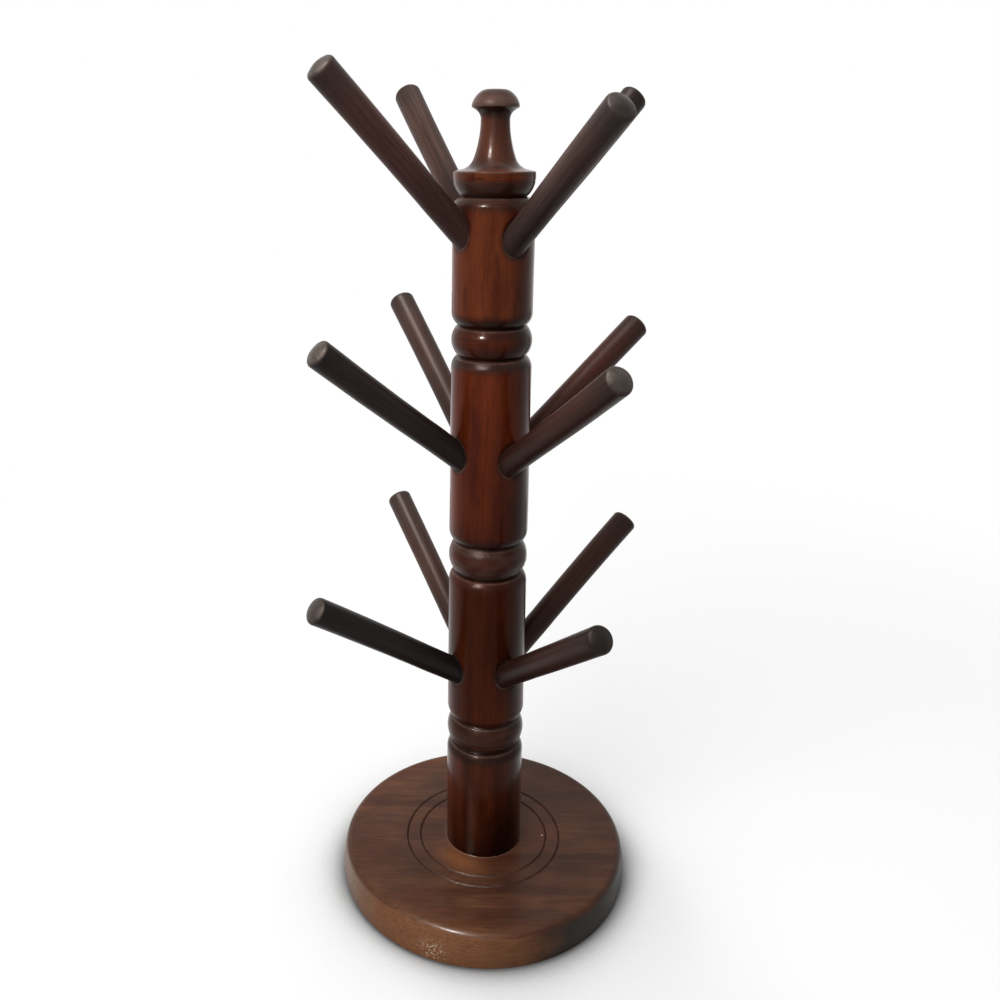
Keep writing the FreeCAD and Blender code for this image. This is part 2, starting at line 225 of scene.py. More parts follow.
def turned_mesh(name, outline, columns, shape=None, closed=False):
    """Mesh of an outline turned about Z. shape(radius, angle, height) may change the points, as arrays."""
    around = np.arange(columns) * (2 * math.pi / columns)
    on_axis = [not closed and radius < ON_AXIS for radius, _ in outline]
    vertices, first = [], []
    for (radius, height), pole in zip(outline, on_axis):
        first.append(len(vertices))
        angles = around[:1] if pole else around
        radii, heights = np.full(len(angles), radius), np.full(len(angles), height)
        if shape:
            radii, heights = shape(radii, angles, heights)
        vertices.extend(zip(radii * np.cos(angles), radii * np.sin(angles), heights))
    faces = []
    rows = [*range(len(outline))] + ([0] if closed else [])
    for low, high in zip(rows, rows[1:]):
        for column in range(columns):
            beside = (column + 1) % columns
            corners = ((low, column), (low, beside), (high, beside), (high, column))
            indices = (first[row] + (0 if on_axis[row] else side) for row, side in corners)
            # Corners that fall together on the axis count once
            faces.append(list(dict.fromkeys(indices)))
    mesh = bpy.data.meshes.new(name)
    mesh.from_pydata(vertices, [], faces)
    mesh.update()
    return mesh


def new_piece(node, mesh, material):
    """Piece that stands for a CAD node, shaded smooth up to its sharp edges."""
    piece = bpy.data.objects.new(f"{node}_turned", mesh)
    bpy.context.scene.collection.objects.link(piece)
    mesh.polygons.foreach_set("use_smooth", np.ones(len(mesh.polygons), bool))
    mesh.set_sharp_from_angle(angle=SHARP_ANGLE)
    mesh.materials.clear()
    mesh.materials.append(material)
    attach(piece, BODY)
    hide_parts(node)
    return piece


def mesh_points(mesh):
    flat = np.empty(len(mesh.vertices) * 3, np.float32)
    mesh.vertices.foreach_get("co", flat)
    return flat.reshape(-1, 3).astype(float)


def place_points(mesh, points):
    mesh.vertices.foreach_set("co", np.asarray(points, np.float32).ravel())
    mesh.update()


def from_axis(points):
    return np.hypot(points[:, 0], points[:, 1])


def angle_of(points):
    return np.arctan2(points[:, 1], points[:, 0])


def paint(mesh, **layers):
    """Stores numbers, or vectors, at the vertices for the materials to read."""
    for name, values in layers.items():
        values = np.asarray(values, np.float32)
        kind, field = ("FLOAT_VECTOR", "vector") if values.ndim == 2 else ("FLOAT", "value")
        mesh.attributes.new(name, kind, "POINT").data.foreach_set(field, values.ravel())


def rough_field(points, scale=1.0, seed=0.0):
    """Smooth noise from -1 to 1 at each point, with features of about one over the scale."""
    shifted = np.asarray(points) * scale + seed
    return np.array([noise.noise(Vector(point)) for point in shifted])


def near(distance, width):
    """1 at no distance, falling smoothly to 0."""
    return np.exp(-((distance / width) ** 2))


def rise(value, low, high):
    """0 below low and 1 above high, with a smooth passage."""
    t = np.clip((value - low) / (high - low), 0.0, 1.0)
    return t * t * (3 - 2 * t)


def fall(value, low, high):
    return 1 - rise(value, low, high)


# Directions round the object, as the camera sees them

FRONT_ANGLE = CAMERA_HEADING - math.pi / 2
TO_RIGHT = np.array([math.cos(CAMERA_HEADING), math.sin(CAMERA_HEADING)])
TO_FRONT = np.array([math.cos(FRONT_ANGLE), math.sin(FRONT_ANGLE)])


def half_turn(angle):
    """The same angle from -pi to pi."""
    return (angle + math.pi) % (2 * math.pi) - math.pi


def leftward(angle):
    """How far an angle lies to the left of the front."""
    return half_turn(FRONT_ANGLE - angle)


def toward_camera(aside, elevation, distance):
    """Place round the object, at an angle to the left of the camera."""
    angle = FRONT_ANGLE - aside
    level = distance * math.cos(elevation)
    return Vector((level * math.cos(angle), level * math.sin(angle), distance * math.sin(elevation)))


# Pegs

PEG_COLUMNS = 56
PEG_STEPS = (0.35 * MM, 1.2 * MM)
PEG_FOOT = 0.3 * MM
# Shares of its length between which a peg leaves the post
PEG_EXIT = (0.25, 0.35)
PEG_BOW = 0.35 * MM
PEG_WOBBLE = 0.02
FLAT_SCALE, FLAT_STRETCH = 1.1, 6
PEG_SEED = 7.3
TIP_WEAR = 0.45 * MM
TIP_REACH = 6 * MM
TIP_SCALE = 160
TIP_MIDDLE = 5 * MM
GRAIN_SHIFT = np.array([0.031, 0.017, 0.11])
# Distances below the tip over which the end grain and the sooty bloom fade
END_FADE = (0.6 * MM, 3.4 * MM)
BLOOM_FADE = (4 * MM, 26 * MM)
BLOOM_DARK, BLOOM_PALE, BLOOM_SOOT = 0.18, 0.5, 0.3
# Darkness beside the post, and shares of the length over which it fades
SHADED, SHADED_FADE = 0.4, (0.3, 0.55)
# Side of the tips with a painted highlight: angle to the left of the camera and angle up
POLISHED_SIDE = (math.radians(35), math.radians(37))
# Painted highlight on the tips: how much paler, distance below the tip, half width and how closely it faces
# that side
POLISH, POLISH_DROP, POLISH_WIDTH, POLISH_FACING = 1.5, 1.7 * MM, 0.9 * MM, (0.8, 0.98)
# Of each peg, in order: lightness, redder stain, soot and end paleness; lightness and end paleness are
# partly painted light
PEG_STAINS = dict(zip(PEG_NODES, (
    (0.62, 0.2, 0.5, 0.8),
    (1.55, 0.05, 0.25, 1.0),
    (1.5, 0.9, 0.45, 2.2),
    (1.45, 0.2, 0.5, 1.0),
    (0.85, 1.0, 0.05, 0.8),
    (1.15, 0.2, 0.3, 1.0),
    (0.56, 0.2, 0.75, 2.4),
    (0.6, 0.85, 0.05, 1.9),
    (0.58, 0.4, 0.1, 0.8),
    (1.3, 0.1, 0.3, 1.0),
    (0.35, 0.0, 1.0, 1.6),
    (0.42, 0.8, 0.15, 0.4),
)))
# Pegs that take no sheen
MATT_PEGS = ("peg_upper_back", "peg_lower_right")


def circle_centre(points):
    table = np.column_stack([2 * points, np.ones(len(points))])
    return np.linalg.lstsq(table, (points**2).sum(axis=1), rcond=None)[0][:2]


def frame_along(along):
    """Rotation whose third column is a direction and whose second is level."""
    side = np.cross((0, 0, 1), along)
    side /= np.linalg.norm(side)
    return np.column_stack([np.cross(side, along), side, along])


def placed(turn, place):
    matrix = Matrix(turn.tolist()).to_4x4()
    matrix.translation = Vector(place)
    return matrix


def peg_frame(node):
    """Matrix of a peg, with its origin at the bottom of the hole and Z along the peg, and its outline."""
    points = node_points(node)
    middle = points.mean(axis=0)
    along = np.linalg.svd(points - middle, full_matrices=False)[2][0]
    turn = frame_along(along if along[2] > 0 else -along)
    local = (points - middle) @ turn
    flat_end = local[local[:, 2] < local[:, 2].min() + PEG_FOOT]
    root = middle + turn @ np.array([*circle_centre(flat_end[:, :2]), flat_end[:, 2].mean()])
    tip = points[local[:, 2].argmax()]
    turn = frame_along((tip - root) / np.linalg.norm(tip - root))
    local = (points - root) @ turn
    return placed(turn, root), [(0.0, 0.0)] + level_rings(local) + [(0.0, local[:, 2].max())]


def shaved(points, length, seed):
    """A peg's points, a little out of round and bent, with a worn tip."""
    along = points[:, 2] / length
    angle = angle_of(points)
    around = np.column_stack([np.cos(angle), np.sin(angle), FLAT_STRETCH * along])
    out_of_hole = rise(along, *PEG_EXIT)
    shrink = 1 - PEG_WOBBLE * out_of_hole * (1 + rough_field(around, FLAT_SCALE, seed)) / 2
    outside = np.clip((along - PEG_EXIT[0]) / (1 - PEG_EXIT[0]), 0, 1)
    bow = PEG_BOW * out_of_hole * np.sin(math.pi * outside)
    tip = rise(points[:, 2], length - TIP_REACH, length) * rise(from_axis(points), 0, TIP_MIDDLE)
    shaped = points.copy()
    shaped[:, :2] *= shrink[:, None]
    shaped[:, 0] += bow * math.cos(seed)
    shaped[:, 1] += bow * math.sin(seed)
    shaped[:, 2] -= TIP_WEAR * tip * (1 + rough_field(points, TIP_SCALE, seed)) / 2
    return shaped


def make_peg(node, index, material):
    matrix, outline = peg_frame(node)
    length = outline[-1][1]
    mesh = turned_mesh(node, refined(outline, *PEG_STEPS), PEG_COLUMNS)
    points = mesh_points(mesh)
    place_points(mesh, shaved(points, length, PEG_SEED * index))
    tone, red, soot, end_tone = PEG_STAINS[node]
    below_tip = length - points[:, 2]
    at_post = fall(points[:, 2] / length, *SHADED_FADE)
    bloom = fall(below_tip, *BLOOM_FADE)
    # Painted highlight on the tip's rounded edge, on the side that faces the light
    light = np.array(matrix.to_3x3().transposed() @ toward_camera(*POLISHED_SIDE, 1.0))[:2]
    facing = points[:, :2] @ light / (np.maximum(from_axis(points), SAME_PLACE) * np.hypot(*light))
    polish = near(below_tip - POLISH_DROP, POLISH_WIDTH) * rise(facing, *POLISH_FACING)
    paint(
        mesh,
        grain=points + index * GRAIN_SHIFT,
        end=fall(below_tip, *END_FADE),
        tone=tone * (1 - SHADED * at_post) * (1 - BLOOM_DARK * bloom),
        red=red * (1 - BLOOM_PALE * bloom),
        soot=np.clip(soot + BLOOM_SOOT * bloom, 0, 1),
        end_tone=end_tone * (1 + POLISH * polish),
    )
    mesh.transform(matrix)
    return new_piece(node, mesh, material)


# Post

POST_COLUMNS = 150
POST_STEPS = (0.45 * MM, 1.1 * MM)
POST_WOBBLE = 0.05 * MM
# Share of the widest radius beyond which the surface shows the turning
TURNED_SKIN = 0.7
# Fine turned lines: notch below, height above it and depth
TURNED_LINES = ((0, 5.4 * MM, 0.32 * MM), (2, 3.2 * MM, 0.2 * MM), (2, 5.2 * MM, 0.14 * MM))
LINE_WIDTH = 0.38 * MM
# Raised lips: height, half width, worn half width, and distance below a notch and the head
LIP, LIP_WIDTH, LIP_WORN = 0.16 * MM, 0.4 * MM, 0.35 * MM
NOTCH_LIP, HEAD_LIP = 1.1 * MM, 0.8 * MM
HOLE_COLUMNS = 64
HOLE_CLEARANCE = 0.12 * MM
HOLE_REACH = 42 * MM
RIM_WIDTH = 1.9 * MM
RIM_DEPTH = 0.4 * MM
# Painted highlights on the hole rims: a glint on their front, and a thin line round each hole
GLINT, GLINT_WIDTH, GLINT_FALL, GLINT_FACING = 1.5, 0.4 * MM, -0.5, (0.5, 0.95)
RIM_LINE, RIM_LINE_WIDTH = 0.25 * MM, 0.3 * MM
# Lightness of the stain along the post, from its foot to its head
TONE_LEVELS = (0.0, 0.05, 0.15, 0.22, 0.35, 0.46, 0.51, 0.58, 0.78, 0.83, 0.92, 1.0)
TONES = (0.2, 0.46, 0.6, 0.54, 0.38, 0.41, 0.4, 0.8, 1.02, 1.06, 1.22, 0.98)
# Each section, from the lowest up: ruby tint, dark stain and painted shade on shoulder and foot, dull
# lacquer with painted sheen and satin lacquer on the shoulder, satin lacquer elsewhere, and gloss
SECTIONS = np.array([
    (0.2, 0.95, 0.0, 0.1, 0.3, 0.0, 0.7),
    (0.7, 0.3, 0.3, 0.15, 0.4, 0.3, 0.42),
    (1.0, 0.95, 0.6, 0.25, 0.6, 0.12, 0.8),
    (0.1, 0.75, 0.85, 0.32, 0.3, 0.0, 0.8),
])
# Each bead, from the lowest up: lightness, dull lacquer with painted sheen, and satin lacquer
BEADS = np.array([(0.4, 0.25, 0.4), (0.46, 0.42, 0.7), (0.64, 0.08, 0.12)])
FULL_GLOSS = 0.8
# Distances from a notch over which the dark stain and painted shade fade, and depths at which they gather
STAIN_REACH = (3.0 * MM, 8.0 * MM)
BEAD_STAIN, BEAD_DEPTHS = 0.5, (0.2 * MM, 1.9 * MM)
NOTCH_DEPTHS = (2.0 * MM, 3.2 * MM)
# Dark stain and painted shade round the holes, and distances from their walls over which it fades
RIM_STAIN, RIM_FADE = 0.85, (0.3 * MM, 2.4 * MM)
# Uneven edges of the stain and painted shade, and patches in the dullness and painted sheen
RAGGED, RAGGED_SCALE, RAGGED_STRETCH = 0.35, 240, (1, 1, 0.4)
SECTION_FRAY, BEAD_FRAY, RIM_FRAY = 3 * MM, 1 * MM, 0.9 * MM
DULL_MEAN, DULL_SWING, DULL_SCALE, DULL_STRETCH = 0.75, 1.2, 110, (1, 1, 3)
# How far the lathe's lines show where the stain and painted shade lie
STAINED_LINES = 0.6
# Dark streaks, first two painted shade, last two heartwood: angle to the left of the front, half width and
# depth
HEART_STREAKS = ((-0.82, 0.34, 0.42), (0.7, 0.22, 0.14), (2.1, 0.3, 0.28), (-2.5, 0.4, 0.24))
STREAK_WANDER = 0.14
# Painted shade on the right: notch below it, height above that, half height, angle, half width and depth
DARK_PATCH = (3, 20 * MM, 16 * MM, -0.72, 0.36, 0.65)
# Painted shade on the right of the foot and a painted sheen streak to its left: angle, half width, height,
# share of that where it begins to fade, and depth
FOOT_BURN = (-0.55, 0.75, 42 * MM, 0.4, 0.6)
FOOT_STREAK = (0.42, 0.07, 58 * MM, 0.6, 0.34)


def hollows(outline):
    """Heights of the notches of an outline, from low to high."""
    radii = [radius for radius, _ in outline]
    return [
        height
        for before, (radius, height), after in zip(radii, outline[1:], radii[2:])
        if radius < before and radius < after
    ]


def peg_holes():
    """Bottom, direction and radius of each peg's hole."""
    holes = []
    for node in PEG_NODES:
        matrix, outline = peg_frame(node)
        holes.append((np.array(matrix.translation), np.array(matrix.col[2])[:3], outline[1][0]))
    return holes


def from_hole(points, hole):
    """Offsets of points from a hole's axis, their lengths, and which points lie above its bottom."""
    bottom, along, _ = hole
    offset = points - bottom
    reach = offset @ along
    aside = offset - reach[:, None] * along
    return aside, np.linalg.norm(aside, axis=1), reach > 0


def rim_distance(points, holes):
    """Distance of points outside the nearest hole from that hole's wall."""
    nearest = np.full(len(points), 1.0)
    for hole in holes:
        _, away, above = from_hole(points, hole)
        nearest = np.where(above, np.minimum(nearest, away - hole[2]), nearest)
    return nearest


def rim_glints(points, holes):
    """Painted highlight: how far points lie on the front of a hole's rim, where it catches the light."""
    glints = np.zeros(len(points))
    for hole in holes:
        _, along, radius = hole
        aside, away, above = from_hole(points, hole)
        front = np.array([*TO_FRONT, GLINT_FALL])
        front = front - (front @ along) * along
        facing = aside @ front / (np.maximum(away, SAME_PLACE) * np.linalg.norm(front))
        on_rim = near(away - radius - HOLE_CLEARANCE, GLINT_WIDTH) * above
        glints = np.maximum(glints, on_rim * rise(facing, *GLINT_FACING))
    return glints


def hole_cutter(bottom, along, radius):
    outline = [(0.0, 0.0), (radius, 0.0), (radius, HOLE_REACH), (0.0, HOLE_REACH)]
    mesh = turned_mesh("hole", outline, HOLE_COLUMNS)
    mesh.transform(placed(frame_along(along), bottom))
    return bpy.data.objects.new("hole", mesh)


def cut_holes(mesh, holes):
    body = bpy.data.objects.new("body", mesh)
    collection = bpy.context.scene.collection
    collection.objects.link(body)
    cutters = [hole_cutter(bottom, along, radius + HOLE_CLEARANCE) for bottom, along, radius in holes]
    for cutter in cutters:
        collection.objects.link(cutter)
        cut = body.modifiers.new("cut", "BOOLEAN")
        cut.operation = "DIFFERENCE"
        cut.solver = "MANIFOLD"
        cut.object = cutter
    result = bpy.data.meshes.new_from_object(body.evaluated_get(bpy.context.evaluated_depsgraph_get()))
    for spare in cutters + [body]:
        bpy.data.meshes.remove(spare.data)
    return result


def make_post(material):
    rings = level_rings(node_points("post"))
    widest = max(rings)[0]
    outer = [point for point in rings if point[0] > widest / 2]
    bottom, head = outer[0][1], outer[-1][1]
    notches = hollows(outer)
    lines = [(notches[notch] + above, depth) for notch, above, depth in TURNED_LINES]
    lips = [notch - NOTCH_LIP for notch in notches] + [head - HEAD_LIP]

    def details(radius, angle, height):
        wobble = POST_WOBBLE * (np.sin(2 * angle + 40 * height) + np.sin(3 * angle - 90 * height) - 2)
        for level, depth in lines:
            wobble -= depth * near(height - level, LINE_WIDTH)
        for level in lips:
            wobble += LIP * near(height - level, LIP_WIDTH)
        return radius + np.where(radius > TURNED_SKIN * widest, wobble, 0.0), height

    outline = [(0.0, bottom)] + outer + [(0.0, head)]
    mesh = turned_mesh("post", refined(outline, *POST_STEPS), POST_COLUMNS, details)
    holes = peg_holes()
    points = mesh_points(mesh)
    press = RIM_DEPTH * fall(rim_distance(points, holes), 0, RIM_WIDTH)
    points[:, :2] *= (1 - press / np.maximum(from_axis(points), 1 * MM))[:, None]
    place_points(mesh, points)
    mesh = cut_holes(mesh, holes)
    paint_post(mesh, outer, notches, lips, holes)
    return new_piece("post", mesh, material)


def taper_depth(points, outer, foot, notches):
    """How deep points lie under the straight taper that the foot and the beads touch."""
    beads = zip(notches[::2], notches[1::2])
    swells = [max(point for point in outer if low < point[1] < high) for low, high in beads]
    widths, levels = zip(foot, *swells)
    slope = (widths[-1] - widths[0]) / (levels[-1] - levels[0])
    return widths[0] + slope * (points[:, 2] - levels[0]) - from_axis(points)


def foot_mark(left, above_foot, place, width, reach, fade, depth):
    return depth * near(left - place, width) * fall(above_foot, fade * reach, reach)


# Darker in heartwood streaks at the back, and in painted shade on the sides and the foot
def patched_tone(tone, above_foot, height, left, notches):
    for place, width, darkness in HEART_STREAKS:
        wander = STREAK_WANDER * np.sin(9 * height + 5 * place)
        tone = tone * (1 - darkness * near(half_turn(left - place - wander), width))
    notch, above, half, place, width, darkness = DARK_PATCH
    tone = tone * (1 - darkness * near(left - place, width) * near(height - notches[notch] - above, half))
    return tone * (1 - foot_mark(left, above_foot, *FOOT_BURN))


def paint_post(mesh, outer, notches, lips, holes):
    points = mesh_points(mesh)
    height = points[:, 2]
    left = leftward(angle_of(points))
    widest, head = max(outer)[0], outer[-1][1]
    foot = next(point for point in outer if point[0] == widest)
    above_foot = height - foot[1]
    depth = taper_depth(points, outer, foot, notches)
    rim = rim_distance(points, holes)
    ragged = RAGGED * rough_field(points * RAGGED_STRETCH, RAGGED_SCALE)
    zone = np.searchsorted(notches, height)
    on_bead = zone % 2 == 1
    section = zone // 2
    ruby, shoulder_stain, foot_stain, shoulder_dull, shoulder_satin, satin, gloss = SECTIONS[section].T
    bead_tone, bead_dull, bead_satin = BEADS[np.minimum(section, len(BEADS) - 1)].T
    bounds = np.array([outer[0][1], *notches, head])
    upper_half = height > (bounds[zone] + bounds[zone + 1]) / 2
    to_notch = np.abs(height[:, None] - np.array(notches + [head])).min(axis=1)

    # Dark stain and painted shade: in the beads, near the notches, in deep cuts and round the holes
    in_bead = rise(depth + BEAD_FRAY * ragged, *BEAD_DEPTHS)
    by_notch = fall(to_notch + SECTION_FRAY * ragged, *STAIN_REACH)
    soft = np.where(on_bead, in_bead, by_notch)
    by_half = np.where(upper_half, shoulder_stain, foot_stain)
    stain = np.where(on_bead, BEAD_STAIN, by_half) * soft
    stain = np.maximum(stain, rise(depth, *NOTCH_DEPTHS))
    stain = np.maximum(stain, RIM_STAIN * fall(rim + RIM_FRAY * ragged, *RIM_FADE))

    tone = np.interp(above_foot / (head - foot[1]), TONE_LEVELS, TONES)
    tone = np.where(on_bead, bead_tone, tone)

    # Dull lacquer with a painted grey sheen on the upward shoulders and on the beads
    dull = np.where(on_bead, bead_dull, shoulder_dull * upper_half * soft)
    dull = dull * (DULL_MEAN + DULL_SWING * rough_field(points * DULL_STRETCH, DULL_SCALE))
    dull = dull + foot_mark(left, above_foot, *FOOT_STREAK)

    # Worn lips, and painted highlights round the holes and on their fronts
    lit_lips = sum(near(height - level, LIP_WORN) for level in lips) * (0.6 + ragged)
    below_peg = near(rim - RIM_LINE, RIM_LINE_WIDTH) * (0.5 + 2.2 * ragged)
    glints = GLINT * rim_glints(points, holes) * (0.7 + ragged)
    wear = np.maximum(np.maximum(lit_lips, below_peg), glints)

    paint(
        mesh,
        grain=points,
        stain=stain,
        tone=patched_tone(tone, above_foot, height, left, notches),
        ruby=ruby,
        dull=np.clip(dull, 0, 1),
        satin=np.where(on_bead, bead_satin, np.maximum(shoulder_satin * soft, satin)),
        gloss=np.where(on_bead, FULL_GLOSS, gloss),
        turned=np.maximum(on_bead, STAINED_LINES * stain),
        wear=np.clip(wear, 0, 1.5),
    )


# Finial

FINIAL_COLUMNS = 128
FINIAL_STEPS = (0.3 * MM, 0.8 * MM)
FINIAL_WOBBLE = 0.04 * MM
FINIAL_GRAIN = np.array([0.06, 0.02, 0.0])
# Line cut under the collar's band
BAND_DROP, BAND_CUT, BAND_WIDTH = 1.6 * MM, 0.22 * MM, 0.35 * MM
COLLAR_SHARE = 0.6
CAP_REACH = 8 * MM
# How far the cap reaches up, down and out past its rings, the stem out, and crown and hollow in
CAP_RISE = 0.85 * MM
CAP_DROP = 0.65 * MM
CAP_SWELL = 0.42 * MM
STEM_SWELL = 0.4 * MM
CROWN_SLIM = 0.38 * MM
HOLLOW_SLIM = 0.05 * MM
# Dark smudge on the band and painted highlight streak on the stem
SMUDGE_ANGLE, SMUDGE_WIDTH = 0.44, 0.16
STEM_STREAK_ANGLE, STEM_STREAK_WIDTH = 0.2, 0.14


def make_finial(material):
    rings = level_rings(node_points("finial"))
    top = rings[-1][1]
    widest = max(rings)[0]
    edges = [height for radius, height in rings if radius > widest - SAME_SIZE]
    collar = edges[-1]
    band_foot = edges[0] - BAND_DROP
    cap_rings = [point for point in rings if point[1] > top - CAP_REACH]
    cap = min(height for _, height in cap_rings)
    rim = max(cap_rings)[1]
    swells = [
        (collar + 3 * MM, 0),
        (collar + 14 * MM, STEM_SWELL),
        (rim - 6.5 * MM, STEM_SWELL),
        (rim - 4.3 * MM, 0.4 * STEM_SWELL),
        (rim - 2.4 * MM, -HOLLOW_SLIM),
        (rim - 0.6 * MM, -HOLLOW_SLIM),
        (rim, CAP_SWELL),
        (rim + 1.1 * MM, CAP_SWELL),
        (top - 1.2 * MM, -CROWN_SLIM),
    ]
    lifts = [(cap - 9 * MM, 0), (cap, -CAP_DROP), (top, CAP_RISE)]

    def details(radius, angle, height):
        cut = np.where(radius > COLLAR_SHARE * widest, BAND_CUT * near(height - band_foot, BAND_WIDTH), 0)
        wobble = FINIAL_WOBBLE * (np.sin(2 * angle + 60 * height) - 1)
        swell = np.interp(height, *zip(*swells))
        lift = np.interp(height, *zip(*lifts))
        return radius - cut + np.where(radius > 1 * MM, wobble + swell, 0), height + lift

    outline = [(0.0, rings[0][1])] + rings + [(0.0, top)]
    mesh = turned_mesh("finial", refined(outline, *FINIAL_STEPS), FINIAL_COLUMNS, details)
    paint_finial(mesh, collar, band_foot, cap, top)
    return new_piece("finial", mesh, material)


def paint_finial(mesh, collar, band_foot, cap, top):
    points = mesh_points(mesh)
    height = points[:, 2]
    left = leftward(angle_of(points))
    bowl = fall(height, band_foot - 0.8 * MM, band_foot + 0.4 * MM)
    on_collar = fall(height, collar + 0.5 * MM, collar + 2 * MM)
    on_band = on_collar * (1 - bowl)
    on_cap = rise(height, cap, cap + 1 * MM)
    on_stem = (1 - on_collar) * (1 - on_cap)
    crown = rise(height, top - 4.2 * MM, top - 1.0 * MM)
    under_cap = near(height - cap + 1.5 * MM, 2.6 * MM)
    collar_edge = near(height - collar, 0.8 * MM)
    skirt = near(height - collar - 2 * MM, 4.5 * MM) * (1 - on_collar)
    smudge = near(left - SMUDGE_ANGLE, SMUDGE_WIDTH) * near(height - band_foot - 1.2 * MM, 0.7 * MM)
    # Painted sheen on the band's sides and on the bowl, brighter to the left, and a painted highlight streak
    # on the stem
    band_ends = on_band * rise(np.abs(left), 0.5, 1.0)
    streak = on_stem * near(left - STEM_STREAK_ANGLE, STEM_STREAK_WIDTH)
    shine = bowl * on_collar * (0.25 + 0.4 * rise(left, 0.1, 0.8))
    # Dull cap with painted sheen, less of it on the crown
    cap_dull = 1.4 * on_cap - 0.95 * crown
    stem_dull = 0.1 * skirt + 0.42 * on_stem + 0.4 * streak
    paint(
        mesh,
        grain=points + FINIAL_GRAIN,
        # Stain and painted shade in the bowl, under the cap and at the collar's edge
        stain=np.clip(0.62 * bowl + 0.9 * under_cap + 0.4 * collar_edge, 0, 1),
        # Lighter band, dark smudge, and painted shade on the skirt and crown, which face the light from
        # above
        tone=0.94 + 0.34 * on_band - 0.75 * smudge - 0.72 * skirt - 0.65 * crown,
        dull=np.clip(cap_dull + stem_dull + shine + 0.5 * band_ends, 0, 1.5),
        satin=np.maximum(0.75 * on_cap, 0.25),
        turned=np.maximum(0.7 * on_collar, 0.5 * on_cap),
        ruby=np.zeros(len(points)),
        gloss=np.full(len(points), FULL_GLOSS),
        # Painted highlight along the collar's edge, and a paler cap below the crown
        wear=0.9 * near(height - collar, 0.45 * MM) + 0.25 * on_cap * (1 - crown),
    )


# Base

BASE_COLUMNS = 400
BASE_STEPS = (0.55 * MM, 3.2 * MM)
BASE_WOBBLE = 0.1 * MM
# Shares of the base's radius that bound its rings, its amber wood and its uneven side
TOP_SHARE, EDGE_SHARE, SIDE_SHARE = 0.8, 0.93, 0.9
SOCKET_SHARE = 0.9
# Lip of finish round the post's foot: height, and distances from the foot with shares of that height
SQUEEZE = 0.42 * MM
SQUEEZE_STEPS = ((0.6 * MM, 0.0), (0.3 * MM, 0.4), (0.08 * MM, 1.0), (0.0, 0.0))
# Ragged bottoms of the rings: depth, and how fast it changes around and across
RING_RAGGED, RING_AROUND, RING_ACROSS = 0.22 * MM, 9, 400
# Slip of the tool inside the outer ring: depth, half width, start, inward drift and angle of the drift
SLIP_DEPTH, SLIP_WIDTH = 0.3 * MM, 0.45 * MM
SLIP_START, SLIP_DRIFT, SLIP_ANGLE = 1.1 * MM, 1.6 * MM, 0.55
# The side leans in towards the top, most where it was planed: angle to the left of the front, half width
EDGE_LEAN, PLANED_DEPTH, LEAN_CURVE = 1.4 * MM, 4.6 * MM, 1.3
PLANED_ANGLE, PLANED_WIDTH = 0.5, 0.5
# Knocked patch on the side: depth, angle and height, and scale of its chips
DENT_DEPTH, CHIP_ANGLE, CHIP_LEVEL, CHIP_SCALE = 0.7 * MM, 0.37, 7 * MM, 560
# Clouds in the top: right, forward and size as shares of the radius, and how much lighter
CLOUDS = (
    (-0.62, 0.34, 0.28, -0.26),
    (0.1, 0.55, 0.15, -0.22),
    (0.32, 0.72, 0.18, 0.3),
    (-0.61, -0.06, 0.2, 0.34),
)
# Amber wood beside the post's foot: distance from it and half width, angle and half width
AMBER_REACH, AMBER_WIDTH, AMBER_ANGLE, AMBER_SPREAD = 6 * MM, 7 * MM, 0.55, 0.5


def base_outline(rings, foot):
    """Outline of the base from its underside over the top to the socket, and radius of the outer ring."""
    widest, thick = max(rings)[0], rings[-1][1]
    side = [point for point in rings if point[0] > TOP_SHARE * widest]
    inner = [point for point in rings if point[0] < TOP_SHARE * widest]
    top = sorted([point for point in inner if point[1] > SOCKET_SHARE * thick], reverse=True)
    socket = [point for point in inner if point[1] <= SOCKET_SHARE * thick]
    outer_ring = min(top, key=lambda point: point[1])[0]
    slips = [(outer_ring - 0.8 * MM - 0.4 * MM * count, thick) for count in range(1, 7)]
    lip = [(foot + outside, thick + share * SQUEEZE) for outside, share in SQUEEZE_STEPS]
    edge_start = max(radius for radius, height in rings if height > thick - SAME_SIZE)
    worn = [(edge_start - 0.8 * MM * count, thick) for count in range(1, 13)]
    flat_top = sorted(top[:-1] + slips + worn, reverse=True)
    return side + flat_top + lip + top[-1:] + socket[::-1], outer_ring


